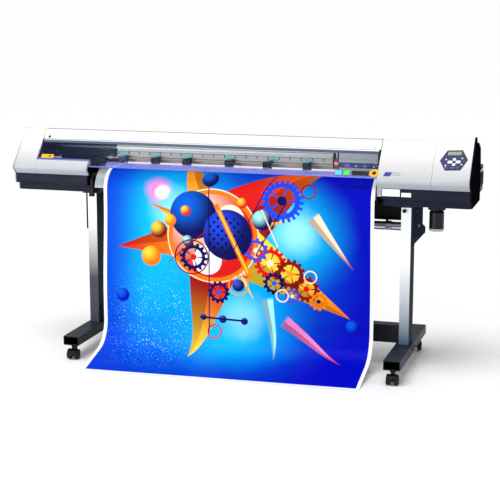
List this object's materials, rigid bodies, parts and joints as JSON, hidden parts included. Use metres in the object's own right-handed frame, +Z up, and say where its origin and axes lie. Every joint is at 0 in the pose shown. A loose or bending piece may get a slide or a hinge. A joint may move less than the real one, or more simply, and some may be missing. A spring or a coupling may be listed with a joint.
{
  "type": "printer cutter",
  "caption": "Roll-fed wide-format inkjet printer cutter on a two-post caster stand, with a hinged front cover and a printed sheet hanging out",
  "frame": {"origin": "middle of the footprint on the floor, under the casters", "axes": "+Z up, +X along the machine to the operator's right, +Y to the rear"},
  "size_m": [2.31, 0.8658, 1.14],
  "materials": {
    "cover_plastic": "fine satin moulded texture",
    "navy_plastic": "satin dark navy",
    "black_plastic": "satin black",
    "dark_paint": "dark powder coat",
    "slate_paint": "slate powder coat",
    "post_metal": "silver metallic paint",
    "steel": "brushed",
    "steel_black": "black oxide",
    "aluminium": "satin anodised",
    "platen_metal": "light grey coat",
    "smoked_window": "tinted clear acrylic",
    "printed_media": "glossy printed film",
    "rubber": "matte",
    "motor_black": "black",
    "carriage_plastic": "satin",
    "circuit_board": "solder mask",
    "bottle_plastic": "translucent",
    "panel_navy": "gloss navy",
    "lcd_green": "backlit screen",
    "caster_tread": "hard rubber",
    "cartridge_plastic": "satin",
    "key_white": "satin"
  },
  "bodies": {
    "machine": {"apron": "platen_metal", "base_beam": "dark_paint", "cap_station": "black_plastic", "control_pod": "cover_plastic", "crossbar": "dark_paint", "drive_belt": "rubber", "guide_rail": "aluminium", "ink_bay": "black_plastic", "lcd_screen": "lcd_green", "left_cover": "cover_plastic", "left_tray": "navy_plastic", "main_board": "circuit_board", "motors": "motor_black", "panel_bezel": "panel_navy", "platen": "platen_metal", "power_inlet": "black_plastic", "printed_sheet": "printed_media", "rear_cover": "cover_plastic", "rear_guide": "dark_paint", "right_cover": "cover_plastic", "right_tray": "navy_plastic", "roll_holders": "slate_paint", "side_frames": "dark_paint", "stand_bolts": "steel_black", "stand_feet": "dark_paint", "stand_posts": "post_metal"},
    "front_cover": {"cover_panel": "cover_plastic", "cover_bar": "aluminium", "cover_window": "smoked_window"},
    "carriage": {"print_carriage": "carriage_plastic"},
    "cutter": {"cutter_holder": "steel"},
    "drive_pulley": {"drive_pulley": "aluminium"},
    "idler_pulley": {"idler_pulley": "aluminium"},
    "grit_roller": {"grit_roller": "steel"},
    "pinch_arms": {"pinch_arms": "black_plastic"},
    "pinch_rollers": {"pinch_rollers": "rubber"},
    "loading_lever": {"loading_lever": "black_plastic"},
    "media_shaft": {"media_shaft": "steel"},
    "drain_bottle": {"drain_bottle": "bottle_plastic"},
    "power_switch": {"power_switch": "black_plastic"},
    "caster_fork_front_left": {"caster_fork_front_left": "black_plastic"},
    "caster_wheels_front_left": {"caster_wheels_front_left": "caster_tread"},
    "caster_fork_front_right": {"caster_fork_front_right": "black_plastic"},
    "caster_wheels_front_right": {"caster_wheels_front_right": "caster_tread"},
    "caster_fork_rear_left": {"caster_fork_rear_left": "black_plastic"},
    "caster_wheels_rear_left": {"caster_wheels_rear_left": "caster_tread"},
    "caster_fork_rear_right": {"caster_fork_rear_right": "black_plastic"},
    "caster_wheels_rear_right": {"caster_wheels_rear_right": "caster_tread"},
    "ink_cartridge_black": {"ink_cartridge_black": "cartridge_plastic"},
    "ink_cartridge_cyan": {"ink_cartridge_cyan": "cartridge_plastic"},
    "ink_cartridge_magenta": {"ink_cartridge_magenta": "cartridge_plastic"},
    "ink_cartridge_yellow": {"ink_cartridge_yellow": "cartridge_plastic"},
    "cursor_key_up": {"cursor_key_up": "key_white"},
    "cursor_key_down": {"cursor_key_down": "key_white"},
    "cursor_key_left": {"cursor_key_left": "key_white"},
    "cursor_key_right": {"cursor_key_right": "key_white"},
    "key_menu": {"key_menu": "key_white"},
    "key_enter": {"key_enter": "key_white"},
    "key_pause": {"key_pause": "key_white"},
    "key_base_point": {"key_base_point": "key_white"}
  },
  "joints": [
    {"name": "front_cover_hinge", "type": "hinge", "parent": "machine", "child": "front_cover", "pos_m": [0, 0.066, 1.11], "axis": [-1, 0, 0], "range_deg": [0, 80]},
    {"name": "carriage_slide", "type": "slide", "parent": "machine", "child": "carriage", "axis": [1, 0, 0], "range_m": [-1.18, 0.39]},
    {"name": "cutter_down", "type": "slide", "parent": "carriage", "child": "cutter", "axis": [0, 0, -1], "range_m": [0, 0.004], "stiffness_N_per_m": 400, "springref_m": -0.003},
    {"name": "drive_pulley_turn", "type": "hinge", "parent": "machine", "child": "drive_pulley", "pos_m": [1.06, 0.172, 1.0595], "axis": [0, 0, 1], "range_deg": [-6000, 2000]},
    {"name": "idler_pulley_turn", "type": "hinge", "parent": "machine", "child": "idler_pulley", "pos_m": [-1.005, 0.172, 1.0595], "axis": [0, 0, 1], "range_deg": [-6000, 2000]},
    {"name": "grit_roller_turn", "type": "hinge", "parent": "machine", "child": "grit_roller", "pos_m": [0, 0.118, 0.9252], "axis": [1, 0, 0], "continuous": true},
    {"name": "loading_lever_swing", "type": "hinge", "parent": "machine", "child": "loading_lever", "pos_m": [-0.737, -0.062, 0.902], "axis": [-1, 0, 0], "range_deg": [0, 50]},
    {"name": "pinch_arms_lift", "type": "hinge", "parent": "machine", "child": "pinch_arms", "pos_m": [0, 0.145, 0.966], "axis": [-1, 0, 0], "range_deg": [0, 6]},
    {"name": "pinch_rollers_turn", "type": "hinge", "parent": "pinch_arms", "child": "pinch_rollers", "pos_m": [0, 0.118, 0.9461], "axis": [1, 0, 0], "continuous": true},
    {"name": "media_shaft_turn", "type": "hinge", "parent": "machine", "child": "media_shaft", "pos_m": [0, 0.185, 0.681], "axis": [1, 0, 0], "continuous": true},
    {"name": "drain_bottle_down", "type": "slide", "parent": "machine", "child": "drain_bottle", "axis": [0, 0, -1], "range_m": [0, 0.15]},
    {"name": "power_switch_rock", "type": "hinge", "parent": "machine", "child": "power_switch", "pos_m": [-1.056, 0.226, 0.964], "axis": [-1, 0, 0], "range_deg": [0, 16]},
    {"name": "caster_swivel_front_left", "type": "hinge", "parent": "machine", "child": "caster_fork_front_left", "pos_m": [-0.78, -0.258, 0.072], "axis": [0, 0, 1], "continuous": true},
    {"name": "caster_roll_front_left", "type": "hinge", "parent": "caster_fork_front_left", "child": "caster_wheels_front_left", "pos_m": [-0.78, -0.276, 0.025], "axis": [1, 0, 0], "continuous": true},
    {"name": "caster_swivel_front_right", "type": "hinge", "parent": "machine", "child": "caster_fork_front_right", "pos_m": [0.836, -0.258, 0.072], "axis": [0, 0, 1], "continuous": true},
    {"name": "caster_roll_front_right", "type": "hinge", "parent": "caster_fork_front_right", "child": "caster_wheels_front_right", "pos_m": [0.836, -0.276, 0.025], "axis": [1, 0, 0], "continuous": true},
    {"name": "caster_swivel_rear_left", "type": "hinge", "parent": "machine", "child": "caster_fork_rear_left", "pos_m": [-0.78, 0.388, 0.072], "axis": [0, 0, 1], "continuous": true},
    {"name": "caster_roll_rear_left", "type": "hinge", "parent": "caster_fork_rear_left", "child": "caster_wheels_rear_left", "pos_m": [-0.78, 0.37, 0.025], "axis": [1, 0, 0], "continuous": true},
    {"name": "caster_swivel_rear_right", "type": "hinge", "parent": "machine", "child": "caster_fork_rear_right", "pos_m": [0.836, 0.388, 0.072], "axis": [0, 0, 1], "continuous": true},
    {"name": "caster_roll_rear_right", "type": "hinge", "parent": "caster_fork_rear_right", "child": "caster_wheels_rear_right", "pos_m": [0.836, 0.37, 0.025], "axis": [1, 0, 0], "continuous": true},
    {"name": "ink_cartridge_black_pull", "type": "slide", "parent": "machine", "child": "ink_cartridge_black", "axis": [1, 0, 0], "range_m": [0, 0.145]},
    {"name": "ink_cartridge_cyan_pull", "type": "slide", "parent": "machine", "child": "ink_cartridge_cyan", "axis": [1, 0, 0], "range_m": [0, 0.145]},
    {"name": "ink_cartridge_magenta_pull", "type": "slide", "parent": "machine", "child": "ink_cartridge_magenta", "axis": [1, 0, 0], "range_m": [0, 0.145]},
    {"name": "ink_cartridge_yellow_pull", "type": "slide", "parent": "machine", "child": "ink_cartridge_yellow", "axis": [1, 0, 0], "range_m": [0, 0.145]},
    {"name": "cursor_key_up_press", "type": "slide", "parent": "machine", "child": "cursor_key_up", "axis": [0.0936, 0.7399, -0.6661], "range_m": [0, 0.001], "stiffness_N_per_m": 600, "springref_m": -0.001},
    {"name": "cursor_key_down_press", "type": "slide", "parent": "machine", "child": "cursor_key_down", "axis": [0.0936, 0.7399, -0.6661], "range_m": [0, 0.001], "stiffness_N_per_m": 600, "springref_m": -0.001},
    {"name": "cursor_key_left_press", "type": "slide", "parent": "machine", "child": "cursor_key_left", "axis": [0.0936, 0.7399, -0.6661], "range_m": [0, 0.001], "stiffness_N_per_m": 600, "springref_m": -0.001},
    {"name": "cursor_key_right_press", "type": "slide", "parent": "machine", "child": "cursor_key_right", "axis": [0.0936, 0.7399, -0.6661], "range_m": [0, 0.001], "stiffness_N_per_m": 600, "springref_m": -0.001},
    {"name": "key_menu_press", "type": "slide", "parent": "machine", "child": "key_menu", "axis": [0.0936, 0.7399, -0.6661], "range_m": [0, 0.001], "stiffness_N_per_m": 600, "springref_m": -0.001},
    {"name": "key_enter_press", "type": "slide", "parent": "machine", "child": "key_enter", "axis": [0.0936, 0.7399, -0.6661], "range_m": [0, 0.001], "stiffness_N_per_m": 600, "springref_m": -0.001},
    {"name": "key_pause_press", "type": "slide", "parent": "machine", "child": "key_pause", "axis": [0.0936, 0.7399, -0.6661], "range_m": [0, 0.001], "stiffness_N_per_m": 600, "springref_m": -0.001},
    {"name": "key_base_point_press", "type": "slide", "parent": "machine", "child": "key_base_point", "axis": [0.0936, 0.7399, -0.6661], "range_m": [0, 0.001], "stiffness_N_per_m": 600, "springref_m": -0.001}
  ],
  "couplings": [
    {"joint": "drive_pulley_turn", "follows": "carriage_slide", "rad_per_m": 76.923},
    {"joint": "idler_pulley_turn", "follows": "carriage_slide", "rad_per_m": 76.923},
    {"joint": "pinch_arms_lift", "follows": "loading_lever_swing", "ratio": 0.12},
    {"joint": "pinch_rollers_turn", "follows": "grit_roller_turn", "ratio": -1.375}
  ]
}
